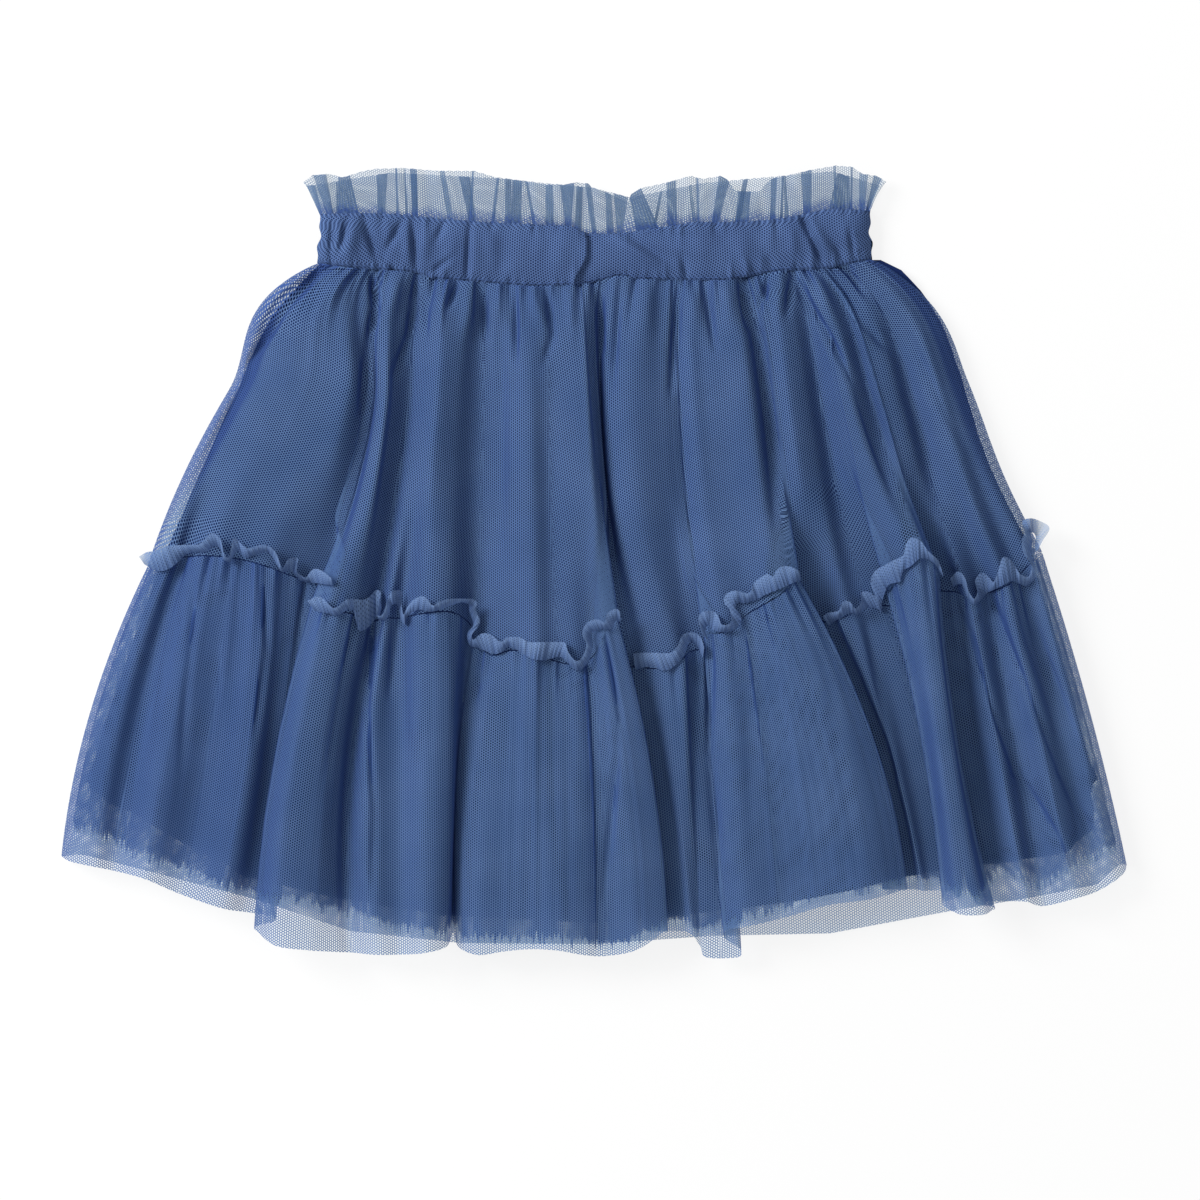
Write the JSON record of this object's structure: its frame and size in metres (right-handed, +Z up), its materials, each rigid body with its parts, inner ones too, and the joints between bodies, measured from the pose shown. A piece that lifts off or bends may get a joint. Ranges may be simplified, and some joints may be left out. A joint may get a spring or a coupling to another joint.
{
  "type": "tulle skirt",
  "caption": "Child's tiered tulle skirt laid out flat: elastic casing with a frilled heading, gathered net tiers, a frilled tier seam and a plain lining.",
  "frame": {"origin": "middle of the underside of the skirt as it lies, on the surface that it rests on", "axes": "+X across the skirt from its left side to its right side as seen from above, +Y from the hem to the waist, +Z up out of the surface"},
  "size_m": [0.448, 0.3314, 0.0284],
  "materials": {
    "net": "soft hexagonal tulle net, matt",
    "frill": "cut edges of the same net, gathered",
    "casing": "doubled net over a woven casing",
    "lining": "plain woven cotton, matt"
  },
  "bodies": {
    "root": {"back_upper_tier": "net", "back_lower_tier": "net", "back_tier_frill": "frill", "back_lining": "lining", "front_lining": "lining", "front_upper_tier": "net", "front_lower_tier": "net", "under_net_layer": "net", "front_tier_frill_1": "frill", "front_tier_frill_2": "frill", "front_tier_frill_3": "frill", "front_tier_frill_4": "frill", "front_tier_frill_5": "frill", "front_tier_frill_6": "frill", "front_tier_frill_7": "frill", "back_waistband": "casing", "front_waistband": "casing", "back_waist_frill": "frill", "front_waist_frill": "frill"}
  },
  "joints": []
}
